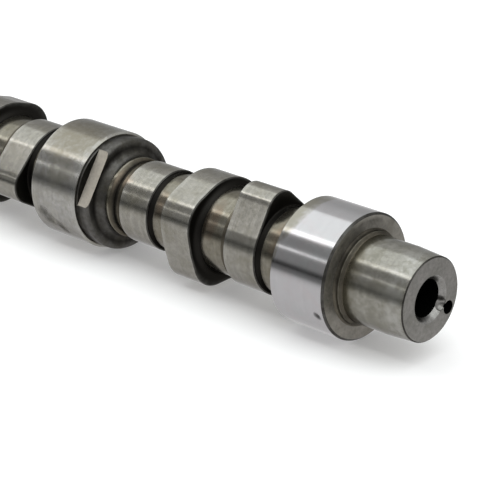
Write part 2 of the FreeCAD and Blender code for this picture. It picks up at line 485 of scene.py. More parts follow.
STEELS: dict[Finish, Steel] = {
    Finish.POLISHED: Steel(
        (0.405, 0.402, 0.408), (0.388, 0.395, 0.396), (0.405, 0.389, 0.394), (0.145, 0.165),
        bare_edge=(0.55, 0.55, 0.54), bloom=(0.245, 0.235, 0.200), stain_scale=55.0, film_scale=160.0,
        mottle=0.015, streaks=0.02, lines=1600.0, relief=0.0006, grazing=0.8),
    Finish.WORN: Steel(
        (0.330, 0.325, 0.311), (0.258, 0.251, 0.216), (0.288, 0.281, 0.254), (0.185, 0.25),
        bloom=(0.205, 0.190, 0.152), stain_scale=75.0, stain_cover=0.42, stain_softness=0.14,
        streaks=0.11, relief=0.0018, edge_wear=0.5, grazing=0.55, metallic=0.91),
    Finish.GROUND: Steel(
        (0.268, 0.259, 0.233), (0.208, 0.198, 0.162), (0.230, 0.221, 0.191), (0.17, 0.23),
        bloom=(0.262, 0.212, 0.160), stain_scale=105.0, stain_cover=0.42, stain_softness=0.14,
        streaks=0.12, relief=0.0018, edge_wear=0.3, grazing=0.58, metallic=0.88),
    Finish.TURNED: Steel(
        (0.192, 0.181, 0.150), (0.134, 0.121, 0.090), (0.156, 0.145, 0.112), (0.18, 0.24),
        bloom=(0.160, 0.126, 0.092), stain_scale=95.0, stain_cover=0.42, stain_softness=0.14,
        mottle=0.13, streaks=0.15, lines=1100.0, around=12.0, relief=0.0024, grazing=0.65, metallic=0.93),
    Finish.ROOT: Steel(
        (0.115, 0.103, 0.081), (0.080, 0.071, 0.054), (0.098, 0.088, 0.068), (0.33, 0.40),
        stain_scale=95.0, grazing=0.5),
    Finish.SHOULDER: Steel(
        (0.100, 0.090, 0.069), (0.068, 0.060, 0.045), (0.084, 0.075, 0.057), (0.36, 0.42),
        bare_edge=(0.30, 0.29, 0.24), stain_scale=90.0, mottle=0.14, edge_wear=0.8, grazing=0.6,
        metallic=0.8),
    Finish.FORGED: Steel(
        (0.034, 0.034, 0.031), (0.022, 0.021, 0.019), (0.042, 0.041, 0.037), (0.36, 0.44),
        bare_edge=(0.12, 0.12, 0.11), mottle=0.2, marks=Marks.RINGS, relief=0.012, edge_wear=0.3,
        grazing=0.5),
    Finish.FACE: Steel(
        (0.214, 0.202, 0.176), (0.142, 0.131, 0.105), (0.172, 0.164, 0.142), (0.30, 0.36),
        bare_edge=(0.30, 0.29, 0.26), stain_scale=85.0, mottle=0.16, streaks=0.05, marks=Marks.RINGS,
        relief=0.016, metallic=0.68),
    Finish.COLLAR: Steel(
        (0.115, 0.112, 0.106), (0.080, 0.075, 0.062), (0.092, 0.089, 0.080), (0.36, 0.42),
        bare_edge=(0.30, 0.29, 0.27), stain_scale=90.0, mottle=0.18, streaks=0.14, marks=Marks.RINGS,
        relief=0.012, edge_wear=0.3, grazing=0.7),
    Finish.MILLED: Steel(
        (0.430, 0.395, 0.340), (0.340, 0.310, 0.260), (0.390, 0.360, 0.310), (0.60, 0.65),
        bare_edge=(0.60, 0.58, 0.54), stain_scale=140.0, mottle=0.10, streaks=0.08, relief=0.004,
        edge_wear=0.3, metallic=0.25),
    Finish.NOSE: Steel(
        (0.258, 0.252, 0.226), (0.178, 0.171, 0.137), (0.205, 0.199, 0.169), (0.175, 0.245),
        bloom=(0.115, 0.104, 0.074), stain_scale=85.0, stain_cover=0.44, stain_softness=0.15,
        film_scale=300.0, relief=0.0018, edge_wear=0.45, grazing=0.55, metallic=0.84),
    Finish.NOSE_END: Steel(
        (0.225, 0.217, 0.204), (0.175, 0.172, 0.155), (0.195, 0.192, 0.178), (0.36, 0.42),
        bare_edge=(0.26, 0.26, 0.25), mottle=0.17, streaks=0.03, marks=Marks.RINGS, relief=0.006,
        edge_wear=0.15),
    Finish.DARK_EDGE: Steel(
        (0.045, 0.043, 0.039), (0.028, 0.026, 0.023), (0.058, 0.056, 0.050), (0.35, 0.4),
        bare_edge=(0.20, 0.20, 0.19), mottle=0.2, streaks=0.05, edge_wear=0.25, grazing=0.6),
    Finish.MOUTH: Steel(
        (0.255, 0.251, 0.242), (0.190, 0.186, 0.172), (0.220, 0.216, 0.204), (0.26, 0.33),
        bare_edge=(0.50, 0.50, 0.48), stain_scale=200.0, mottle=0.16, streaks=0.16, relief=0.003),
    Finish.RELIEF: Steel(
        (0.235, 0.231, 0.221), (0.180, 0.176, 0.165), (0.205, 0.201, 0.190), (0.27, 0.33),
        stain_scale=200.0, mottle=0.10, streaks=0.07, relief=0.003, edge_wear=0.4),
    # Near black: painted shade inside the holes and on the step at the flat's end.
    Finish.SHADE_WALLS: Steel(
        (0.030, 0.030, 0.028), (0.018, 0.018, 0.016), (0.026, 0.026, 0.024), (0.38, 0.45),
        bare_edge=(0.10, 0.10, 0.09), mottle=0.2, relief=0.004, grazing=0.4),
}


@dataclass
class Finishes:
    """Every finish as a material, made when it is first asked for."""

    effects: Effects = field(default_factory=Effects)
    made: dict[Finish, bpy.types.Material] = field(default_factory=dict)

    def __getitem__(self, finish: Finish) -> bpy.types.Material:
        """Gives one finish's material.

        Args:
            finish: the finish.

        Returns:
            The material.
        """
        if finish not in self.made:
            self.made[finish] = STEELS[finish].material(finish.value, self.effects)
        return self.made[finish]


# Outlines across the shaft

def directions(angles: np.ndarray) -> np.ndarray:
    """Unit vectors across the shaft: the cosine and the sine of each angle."""
    return np.stack([np.cos(angles), np.sin(angles)], axis=-1)


def outwards(angle: float) -> Vector:
    """Unit vector from the shaft's axis at an angle in degrees."""
    return Vector((0.0, math.cos(math.radians(angle)), math.sin(math.radians(angle))))


def shares(steps: int) -> np.ndarray:
    """Even shares of a whole, from the first step to the last, which is 1."""
    return np.arange(1, steps + 1) / steps


@dataclass(frozen=True)
class Cam:
    """Outline of a lobe: a base circle, set off centre or not, with one or more noses."""

    base: float
    lift: float
    nose: float
    nose_angles: tuple[float, ...]
    turn: float = 0.0
    offset: float = 0.0
    offset_angle: float = 0.0

    def reach(self, angles: np.ndarray, nose_angle: float) -> np.ndarray:
        """Distance from the base circle's centre to the edge of the base with one nose.

        Close to the nose's own angle the edge is the nose circle. Beside it, the edge is the straight flank
        that touches both circles. Further round, it is the base circle.

        Args:
            angles: directions from the base circle's centre, in radians.
            nose_angle: direction of the nose.

        Returns:
            The distance in each direction.
        """
        tip = self.base + self.lift - self.nose
        flank = math.acos((self.base - self.nose) / tip)
        end = math.atan2(self.nose * math.sin(flank), tip + self.nose * math.cos(flank))
        away = np.abs((angles - nose_angle + np.pi) % (2 * np.pi) - np.pi)
        near = np.minimum(away, end)
        on_nose = tip * np.cos(near) + np.sqrt(self.nose ** 2 - (tip * np.sin(near)) ** 2)
        on_flank = self.base / np.cos(np.minimum(np.abs(flank - away), 1.0))
        return np.where(away < end, on_nose, np.where(away < flank, on_flank, self.base))

    def points(self, angles: np.ndarray) -> np.ndarray:
        """Points of the outline: the furthest edge of all the noses, in the direction of each angle.

        Args:
            angles: directions from the base circle's centre, in radians.

        Returns:
            The points across the shaft.
        """
        turned = np.radians(np.array(self.nose_angles) + self.turn)
        radius = np.max([self.reach(angles, nose) for nose in turned], axis=0)
        centre = self.offset * directions(np.radians(self.offset_angle + self.turn))
        return centre + radius[:, None] * directions(angles)


def inset(outline: np.ndarray, depth: float) -> np.ndarray:
    """Moves a closed outline inwards along its own normals, which are its tangents turned a quarter.

    Args:
        outline: its points across the shaft.
        depth: how far it moves.

    Returns:
        The moved points.
    """
    along = np.roll(outline, -1, axis=0) - np.roll(outline, 1, axis=0)
    along /= np.linalg.norm(along, axis=1, keepdims=True)
    return outline - depth * np.stack([along[:, 1], -along[:, 0]], axis=-1)


# Surfaces

@dataclass
class Row:
    """One outline of a skin, with the finish of the strip that leads on from it and its marks.

    A sharp outline has a crease along it. The others are painted marks, from 0 to 1: how much the rim is
    worn, how dark the skin is painted, as dark dirt and as painted shade in creases, corners and
    recesses, and how much heat tint it has. Darkness above 1 stays black for some way.
    """

    points: np.ndarray
    finish: Finish
    sharp: bool = False
    edge: float = 0.0
    # painted darkness: dark dirt, and painted shade in creases, corners and recesses
    soot: float = 0.0
    bloom: float = 0.0


@dataclass
class Skin:
    """A surface that skins over closed outlines, one after another, like a lofted tube.

    The point at row s and column t is the point of outline s in the direction t round the shaft. The last
    column joins the first one. The rows end in a pole on the axis at each end, or the last row joins the
    first one.
    """

    columns: int
    rows: list[Row] = field(default_factory=list)

    @property
    def angles(self) -> np.ndarray:
        """Angle of every column, in radians."""
        return np.arange(self.columns) * (2 * np.pi / self.columns)

    @property
    def last(self) -> Row:
        """The outline that was added last."""
        return self.rows[-1]

    def add(self, x: float, across: np.ndarray | float, finish: Finish, steps: int = 1,
            **marks: float) -> None:
        """Adds one outline, after others that are spread evenly between it and the last one.

        Args:
            x: its place along the shaft, in millimetres.
            across: its points across the shaft, or the radius of a circle, in millimetres.
            finish: the finish of the strip that leads on from it.
            steps: number of strips from the last outline to the new one.
            marks: the new outline's crease and painted marks. The painted darkness, of dirt and of painted
                shade, fades to it from the last outline's.
        """
        outline = across if isinstance(across, np.ndarray) else across * directions(self.angles)
        row = Row(np.concatenate([np.full((self.columns, 1), x), outline], axis=1), finish, **marks)
        if steps > 1:
            last = self.last
            for share in shares(steps)[:-1]:
                self.rows.append(Row(last.points + share * (row.points - last.points), last.finish,
                                     soot=last.soot + share * (row.soot - last.soot)))
        self.rows.append(row)

    def quarter(self, steps: int, x: float, radius: float, finish: Finish, flat_first: bool,
                soot: float = 0.0) -> None:
        """Adds circles along a quarter ellipse from the last circle to a new one.

        Args:
            steps: number of circles, the last one included.
            x: where it ends along the shaft.
            radius: radius that it ends at.
            finish: the finish of the strips.
            flat_first: true if it starts along the shaft and ends across it, false the other way round.
            soot: how dark the skin is painted where it ends, as dirt and painted shade.
        """
        last = self.last
        from_x, from_radius = last.points[0, 0], np.hypot(last.points[0, 1], last.points[0, 2])
        for share in shares(steps):
            slow, fast = 1 - math.cos(share * math.pi / 2), math.sin(share * math.pi / 2)
            along, up = (fast, slow) if flat_first else (slow, fast)
            self.add(from_x + along * (x - from_x), from_radius + up * (radius - from_radius), finish,
                     soot=last.soot + share * (soot - last.soot))

    def mesh(self, name: str, finishes: Finishes, poles: bool) -> bpy.types.Mesh:
        """Makes the mesh.

        Every four neighbouring points make one face, with its corners in the order that turns it outwards
        when the outlines are added from the rear to the front. With poles, a fan closes each end.

        Args:
            name: the mesh's name.
            finishes: the materials.
            poles: whether the ends close on the axis, or else the last row joins the first.

        Returns:
            The mesh, in metres.
        """
        count, columns = len(self.rows), self.columns
        ends = [self.rows[0], self.rows[-1]] if poles else []
        strips = count - 1 if poles else count
        points = np.concatenate([row.points for row in self.rows]
                                + [row.points[:1] * (1.0, 0.0, 0.0) for row in ends])
        around = np.arange(columns)
        beyond = (around + 1) % columns
        start = np.arange(strips)[:, None] * columns
        ahead = (start + columns) % (count * columns)
        quads = np.stack([start + around, start + beyond, ahead + beyond, ahead + around], axis=-1)
        faces = quads.reshape(-1, 4).tolist()
        if poles:
            top, pole = (count - 1) * columns, np.full(columns, count * columns)
            faces += np.stack([pole, beyond, around], axis=-1).tolist()
            faces += np.stack([pole + 1, top + around, top + beyond], axis=-1).tolist()

        mesh = bpy.data.meshes.new(name)
        mesh.from_pydata((points * MM).tolist(), [], faces, shade_flat=False)
        used = list(dict.fromkeys(row.finish for row in self.rows))
        for finish in used:
            mesh.materials.append(finishes[finish])
        worn = [used.index(row.finish) for row in [*self.rows[:strips], *ends]]
        mesh.polygons.foreach_set("material_index", np.repeat(worn, columns).astype(np.int32))
        self.crease(mesh)
        for label in ("edge", "soot", "bloom"):
            on_rows = np.repeat([getattr(row, label) for row in self.rows], columns)
            on_poles = [getattr(row, label) for row in ends]
            painted = mesh.attributes.new(label, "FLOAT", "POINT")
            painted.data.foreach_set("value", np.concatenate([on_rows, on_poles]).astype(np.float32))
        mesh.validate()
        return mesh

    def crease(self, mesh: bpy.types.Mesh) -> None:
        """Marks the mesh edges along the creased rows, which are the edges with both ends in such a row.

        Args:
            mesh: the mesh.
        """
        ends = np.zeros(len(mesh.edges) * 2, np.int32)
        mesh.edges.foreach_get("vertices", ends)
        rows = ends.reshape(-1, 2) // self.columns
        inside = (rows[:, 0] == rows[:, 1]) & (rows[:, 0] < len(self.rows))
        creased = np.zeros(len(mesh.edges), bool)
        creased[inside] = np.array([row.sharp for row in self.rows])[rows[inside, 0]]
        mesh.attributes.new("sharp_edge", "BOOLEAN", "EDGE").data.foreach_set("value", creased)


@dataclass(frozen=True)
class Blemish:
    """Oblong mark on a round surface: a smudge of bloom or of painted dirt and shade, and a dent where it has
    a depth.
    """

    x: float
    angle: float
    length: float
    width: float
    strength: float
    paint: str = "bloom"
    turn: float = 0.0
    depth: float = 0.0
    reach: float = 60.0

    def press(self, mesh: bpy.types.Mesh) -> None:
        """Paints the mark onto a mesh and pushes the mesh's points towards the axis.

        With q as the sum of the squares of the distances along and across the mark, each over its half
        size, the paint is the strength times the root of one minus q. The push is the depth times the
        square of one minus q. Points further from the axis than its reach stay as they are.

        Args:
            mesh: the mesh, in metres.
        """
        flat = np.zeros(len(mesh.vertices) * 3, np.float32)
        mesh.vertices.foreach_get("co", flat)
        points = flat.reshape(-1, 3) / MM
        radius = np.hypot(points[:, 1], points[:, 2])
        away = np.arctan2(points[:, 2], points[:, 1]) - math.radians(self.angle)
        around = ((away + np.pi) % (2 * np.pi) - np.pi) * radius
        along = points[:, 0] - self.x
        turn = math.radians(self.turn)
        u = along * math.cos(turn) + around * math.sin(turn)
        v = around * math.cos(turn) - along * math.sin(turn)
        inside = 1 - np.minimum((2 * u / self.length) ** 2 + (2 * v / self.width) ** 2, 1.0)
        inside[radius > self.reach] = 0.0
        if self.depth:
            points[:, 1:] *= (1 - self.depth * inside ** 2 / np.maximum(radius, 1.0))[:, None]
            mesh.vertices.foreach_set("co", (points * MM).astype(np.float32).ravel())
        values = np.zeros(len(mesh.vertices), np.float32)
        painted = mesh.attributes[self.paint].data
        painted.foreach_get("value", values)
        painted.foreach_set("value", np.maximum(values, self.strength * np.sqrt(inside)).astype(np.float32))
        mesh.update()


# Solids to cut with

def placed(name: str, data: bpy.types.ID) -> Thing:
    """Puts a mesh, lamp or camera into the scene.

    Args:
        name: its name.
        data: the mesh, lamp or camera.

    Returns:
        The object that holds it.
    """
    thing = bpy.data.objects.new(name, data)
    bpy.context.scene.collection.objects.link(thing)
    return thing


def cutting_solid(points: np.ndarray, faces: list[list[int]], *materials: bpy.types.Material) -> Thing:
    """Makes a solid that only cuts others.

    Args:
        points: its corners, in millimetres.
        faces: its faces, as numbers of corners.
        materials: what the faces that it cuts wear, the first one unless a face says otherwise.

    Returns:
        The solid.
    """
    mesh = bpy.data.meshes.new("cutter")
    mesh.from_pydata((points * MM).tolist(), [], faces, shade_flat=False)
    for material in materials:
        mesh.materials.append(material)
    return placed("cutter", mesh)


def cutting_box(start: Vector, along: Vector, up: Vector, side: Vector,
                *materials: bpy.types.Material) -> Thing:
    """Box to cut with.

    Args:
        start: the middle of its lower rear edge.
        along: its first side.
        up: its second side.
        side: half of its third side, to either hand.
        materials: those of its sides and of its rear face.

    Returns:
        The box.
    """
    points = np.array([start + along * a + up * u + side * s
                       for a in (0, 1) for u in (0, 1) for s in (-1, 1)])
    faces = [[0, 1, 3, 2], [4, 6, 7, 5], [0, 4, 5, 1], [2, 3, 7, 6], [0, 2, 6, 4], [1, 5, 7, 3]]
    box = cutting_solid(points, faces, *materials)
    box.data.polygons[0].material_index = 1
    return box


def cutting_pin(start: np.ndarray, length: float, radius: float, material: bpy.types.Material) -> Thing:
    """Pin along the shaft to cut with.

    Args:
        start: the centre of its rear end.
        length: its length.
        radius: its radius.
        material: that of the hole that it cuts.

    Returns:
        The pin.
    """
    count = 64
    circle = radius * directions(np.arange(count) * (2 * np.pi / count))
    points = [start + np.insert(circle, 0, x, axis=1) for x in (0.0, length)]
    sides = [[k, (k + 1) % count, count + (k + 1) % count, count + k] for k in range(count)]
    caps = [list(range(count))[::-1], list(range(count, 2 * count))]
    return cutting_solid(np.concatenate(points), sides + caps, material)


def cutting_ball(centre: np.ndarray, radius: float, material: bpy.types.Material) -> Thing:
    """Ball to cut with.

    Its point at turn t and tilt p is the centre plus the radius times sin p cos t, sin p sin t and cos p.

    Args:
        centre: its centre.
        radius: its radius.
        material: that of the hollow that it cuts.

    Returns:
        The ball.
    """
    turns, tilts = 48, 24
    turn = np.arange(turns) * (2 * np.pi / turns)
    tilt = (np.arange(1, tilts) * (np.pi / tilts))[:, None]
    grid = np.stack([np.sin(tilt) * np.cos(turn), np.sin(tilt) * np.sin(turn),
                     np.cos(tilt) * np.ones(turns)], axis=-1).reshape(-1, 3)
    points = centre + radius * np.concatenate([grid, [[0.0, 0.0, 1.0], [0.0, 0.0, -1.0]]])
    top, bottom, last = len(grid), len(grid) + 1, (tilts - 2) * turns
    faces = []
    for k in range(turns):
        beside = (k + 1) % turns
        faces.append([top, k, beside])
        faces.append([bottom, last + beside, last + k])
        faces += [[row * turns + k, (row + 1) * turns + k, (row + 1) * turns + beside, row * turns + beside]
                  for row in range(tilts - 2)]
    return cutting_solid(points, faces, material)


def cut_away(piece: Thing, cutters: list[Thing]) -> None:
    """Cuts solids out of a piece. The cut faces take the solids' own materials.

    Args:
        piece: the piece to cut.
        cutters: the solids to cut with, which are removed afterwards.
    """
    for cutter in cutters:
        step = piece.modifiers.new("cut", "BOOLEAN")
        step.operation = "DIFFERENCE"
        step.solver = "EXACT"
        step.material_mode = "TRANSFER"
        step.object = cutter
    graph = bpy.context.evaluated_depsgraph_get()
    cut = bpy.data.meshes.new_from_object(piece.evaluated_get(graph), depsgraph=graph)
    piece.modifiers.clear()
    piece.data = cut
    for cutter in cutters:
        bpy.data.objects.remove(cutter)
    crease_angle = math.radians(28.0)
    cut.set_sharp_from_angle(angle=crease_angle)
    cut.update()


# Pieces of the shaft

@dataclass(kw_only=True)
class Piece:
    """One piece of the shaft: a skin, less the solids that are cut out of it, with its blemishes.

    With poles the skin closes on the shaft's axis. Without them it is a closed ring round the axis.
    """

    name: str
    layout: Layout = LAYOUT
    columns: int = 384
    poles: bool = False
    blemishes: tuple[Blemish, ...] = ()

    def skin(self) -> Skin:
        """The skin over all its outlines, from the rear to the front."""
        raise NotImplementedError

    def cutters(self, finishes: Finishes) -> list[Thing]:
        """The solids that are cut out of it."""
        return []

    def build(self, finishes: Finishes) -> Thing:
        """Makes, cuts and marks the piece and lets it stand for the camshaft.

        Args:
            finishes: the materials.

        Returns:
            The piece.
        """
        piece = placed(self.name, self.skin().mesh(self.name, finishes, self.poles))
        cutters = self.cutters(finishes)
        if cutters:
            cut_away(piece, cutters)
        for blemish in self.blemishes:
            blemish.press(piece.data)
        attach(piece, "root")
        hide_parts("camshaft")
        LOG.info("%s: %d faces", self.name, len(piece.data.polygons))
        return piece


@dataclass(kw_only=True)
class Journal(Piece):
    """Bearing journal: a round, ground drum with a chamfer at each rim and turned sides.

    It is a ring round the core. The rearmost one is a full drum with a plain end face.
    """

    number: int
    columns: int = 512
    chamfer: float = 0.9
    side_radius: float = 15.0
    pole_radius: float = 0.05

    def skin(self) -> Skin:
        """Goes over the rear side, the rim and the front side.

        The front journal is polished and has a dark front chamfer. The others are worn.

        Returns:
            The skin.
        """
        rear, front = self.layout.journal_faces(self.number)
        radius = self.layout.journal_radius
        rim = radius - self.chamfer
        ground, at_front, steps = (Finish.WORN, Finish.WORN, 24)
        if self.number == 0:
            ground, at_front, steps = (Finish.POLISHED, Finish.DARK_EDGE, 90)
        skin = Skin(self.columns)
        inner = self.pole_radius if self.poles else self.side_radius
        skin.add(rear, inner, Finish.FACE, sharp=not self.poles)
        skin.add(rear, rim, ground, 6, sharp=True, edge=0.6)
        skin.add(rear + self.chamfer, radius, ground, sharp=True, edge=1.0)
        skin.add(front - self.chamfer, radius, at_front, steps, sharp=True, edge=1.0)
        skin.add(front, rim, Finish.FACE, sharp=True, edge=0.6)
        skin.add(front, self.side_radius, Finish.FACE, 6, sharp=True)
        return skin


@dataclass(kw_only=True)
class Lobe(Piece):
    """Cam lobe: a ground rim between two forged sides, each with a root that swells into the neck."""

    cam: Cam
    place: LobePlace
    cylinder: float
    root_radius: float
    neck_rear: float
    neck_front: float
    columns: int = 320
    chamfer: float = 0.5
    # Painted darkness of the roots: painted shade in their creases, and at the front the forged side's own
    # black runs into it.
    rear_soot: float = 0.25
    side_soot: float = 1.5
    foot_soot: float = 0.9

    def skin(self) -> Skin:
        """Goes from the foot of the rear root over the rim to the foot of the front root.

        Returns:
            The skin.
        """
        rear = self.cylinder - self.place.middle - self.place.width / 2
        front = rear + self.place.width
        rear_foot, front_foot = rear - self.place.root_length, front + self.place.root_length
        buried = self.layout.buried_radius
        skin = Skin(self.columns)
        rim = self.cam.points(skin.angles)
        side = inset(rim, self.chamfer)

        skin.add(rear_foot, buried, Finish.ROOT, sharp=True)
        skin.add(rear_foot, self.neck_rear, Finish.ROOT, sharp=True)
        skin.quarter(7, rear, self.root_radius, Finish.ROOT, flat_first=True, soot=self.rear_soot)
        skin.last.finish = Finish.FORGED
        skin.add(rear, side, Finish.GROUND, 6, sharp=True, edge=0.7)
        skin.add(rear + self.chamfer, rim, Finish.GROUND, sharp=True, edge=1.0)
        skin.add(front - self.chamfer, rim, Finish.DARK_EDGE, 8, sharp=True, edge=0.8)
        skin.add(front, side, Finish.FORGED, sharp=True, edge=0.3)
        skin.add(front, self.root_radius, Finish.ROOT, 6, soot=self.side_soot)
        skin.quarter(9, front_foot, self.neck_front, Finish.ROOT, flat_first=False, soot=self.foot_soot)
        skin.last.sharp = True
        skin.add(front_foot, buried, Finish.ROOT, sharp=True)
        return skin


@dataclass(kw_only=True)
class Necks(Piece):
    """The turned core that shows between the lobes, with a fillet against each journal."""

    name: str = "turned_necks"
    columns: int = 224
    poles: bool = True
    behind_journal: float = 18.8
    behind_front_lobe: float = 18.65
    behind_middle_lobe: float = 17.2
    behind_rear_lobe: float = 18.05
    fillet: float = 2.5
    seat: float = 0.05
    buried_length: float = 5.0
    rear_fade: float = 2.2
    front_fade: float = 1.2
    lobe_shade: float = 0.45
    root_shade: float = 0.1
    rear_root_shade: float = 0.15
    journal_shade: float = 0.6
    fillet_shade: float = 0.3
    fillet_gap: float = 0.5
    land_radius: float = 18.4
    land_start: float = 11.3
    land_width: float = 2.0
    land_overlap: float = 0.8
    groove_radius: float = 17.0
    groove_end: float = 17.25
    # painted shade in the groove
    groove_soot: float = 0.75
    blemishes: tuple[Blemish, ...] = (
        Blemish(-20.0, 142.0, 11.0, 20.0, 0.62),
        Blemish(-57.0, 146.0, 10.0, 24.0, 0.62),
        Blemish(-88.5, 148.0, 7.0, 16.0, 0.6),
        Blemish(-116.5, 136.0, 5.0, 16.0, 0.6),
    )

    def stretch(self, skin: Skin, rear: float, front: float, radius: float, rear_soot: float,
                front_soot: float) -> None:
        """Adds one plain stretch of neck whose painted shade fades away from both ends.

        Args:
            skin: the surface that it is added to.
            rear: where it starts, at the foot of a root.
            front: where it ends.
            radius: its radius.
            rear_soot: how much painted shade it has where it starts.
            front_soot: how much painted shade it has where it ends.
        """
        skin.add(rear, radius, Finish.TURNED, soot=rear_soot)
        skin.add(rear + self.rear_fade, radius, Finish.TURNED, 4)
        skin.add(front - self.front_fade, radius, Finish.TURNED, 4)
        skin.add(front, radius, Finish.TURNED, 3, soot=front_soot)

    def groove(self, skin: Skin, rear: float, front: float) -> None:
        """Adds the neck in front of the second journal's collar: a narrow land, then a shallow groove.

        The groove's radius falls to its lowest one and rises again as the square of a sine does. From its
        lowest point on it is painted dark as shade.

        Args:
            skin: the surface that it is added to.
            rear: where the land starts.
            front: where the groove ends.
        """
        start = rear + self.land_width
        skin.add(rear - self.land_overlap, self.land_radius, Finish.TURNED)
        skin.add(start, self.land_radius, Finish.TURNED, 3)
        for share in shares(15)[:-1]:
            dip = math.sin(math.pi * share) ** 2
            rim = self.land_radius + share * (self.groove_end - self.land_radius)
            skin.add(start + share * (front - start), rim - dip * (rim - self.groove_radius), Finish.ROOT,
                     soot=self.groove_soot * (dip if share < 0.5 else 1.0))
        skin.add(front, self.groove_end, Finish.TURNED, soot=self.groove_soot)

    def skin(self) -> Skin:
        """Goes from inside the rear journal to inside the front one.

        Returns:
            The skin.
        """
        layout = self.layout
        skin = Skin(self.columns)
        rear_end = layout.journal_faces(layout.cylinder_count)[0] + self.buried_length
        skin.add(rear_end, self.behind_rear_lobe, Finish.TURNED)
        for number in reversed(range(layout.cylinder_count)):
            rear, front = layout.journal_faces(number + 1)[1], layout.journal_faces(number)[0]
            lobes = (layout.rear_lobe, layout.middle_lobe, layout.front_lobe)
            feet = [layout.cylinder(number) - foot for lobe in lobes for foot in lobe.feet]
            if number == 0:
                self.groove(skin, rear + self.land_start, feet[0])
            else:
                radius = self.behind_rear_lobe
                skin.add(rear - self.seat, radius + self.fillet, Finish.TURNED, soot=self.journal_shade)
                skin.quarter(8, rear + self.fillet, radius, Finish.TURNED, flat_first=False)
                self.stretch(skin, rear + self.fillet + self.fillet_gap, feet[0], radius, 0.0,
                             self.rear_root_shade)
            self.stretch(skin, feet[1], feet[2], self.behind_middle_lobe, self.lobe_shade, self.root_shade)
            self.stretch(skin, feet[3], feet[4], self.behind_front_lobe, self.lobe_shade, self.root_shade)
            self.stretch(skin, feet[5], front - self.fillet, self.behind_journal, self.lobe_shade, 0.0)
            skin.quarter(8, front + self.seat, self.behind_journal + self.fillet, Finish.TURNED,
                         flat_first=True, soot=self.fillet_shade)
        skin.add(front + self.buried_length, self.behind_journal, Finish.TURNED)
        return skin


@dataclass(kw_only=True)
class Collar(Piece):
    """Collar against the second journal, with a flat milled across its front part."""

    name: str = "collar"
    radius: float = 25.7
    width: float = 8.0
    rim: float = 1.6
    fillet: float = 3.9
    foot_radius: float = 18.45
    fillet_top: float = 21.95
    seat: float = 0.5
    flat_height: float = 22.0
    flat_angle: float = 148.0
    flat_length: float = 6.4
    cut_height: float = 20.0
    cut_half_width: float = 30.0

    @property
    def back(self) -> float:
        """Where it stands against the journal."""
        return self.layout.journal_faces(1)[1]

    def skin(self) -> Skin:
        """Goes over the rim, down the front and along the fillet to its foot.

        Returns:
            The skin.
        """
        front, buried = self.back + self.width, self.layout.buried_radius
        foot = front + self.fillet
        skin = Skin(self.columns)
        skin.add(self.back - self.seat, buried, Finish.COLLAR, sharp=True)
        # The rim against the journal and the corner at the fillet's top are painted dark as shade.
        skin.add(self.back - self.seat, self.radius, Finish.COLLAR, sharp=True, soot=0.8)
        skin.add(front - self.rim, self.radius, Finish.COLLAR, 6, soot=0.15)
        skin.quarter(8, front, self.radius - self.rim, Finish.COLLAR, flat_first=True, soot=0.35)
        skin.add(front, self.fillet_top, Finish.COLLAR, soot=0.75)
        skin.quarter(12, foot, self.foot_radius, Finish.COLLAR, flat_first=False, soot=0.1)
        skin.last.sharp = True
        skin.add(foot, buried, Finish.COLLAR, sharp=True)
        return skin

    def cutters(self, finishes: Finishes) -> list[Thing]:
        """Makes a box whose lower side mills the flat, with a dark step at its rear end.

        Args:
            finishes: the materials.

        Returns:
            The box.
        """
        up, side = outwards(self.flat_angle), outwards(self.flat_angle + 90.0)
        start = Vector((self.back + self.width - self.flat_length, 0.0, 0.0)) + up * self.flat_height
        # The box's rear face leaves a step that is painted dark as shade.
        return [cutting_box(start, Vector((self.cut_height, 0.0, 0.0)), up * self.cut_height,
                            side * self.cut_half_width, finishes[Finish.MILLED], finishes[Finish.SHADE_WALLS])]


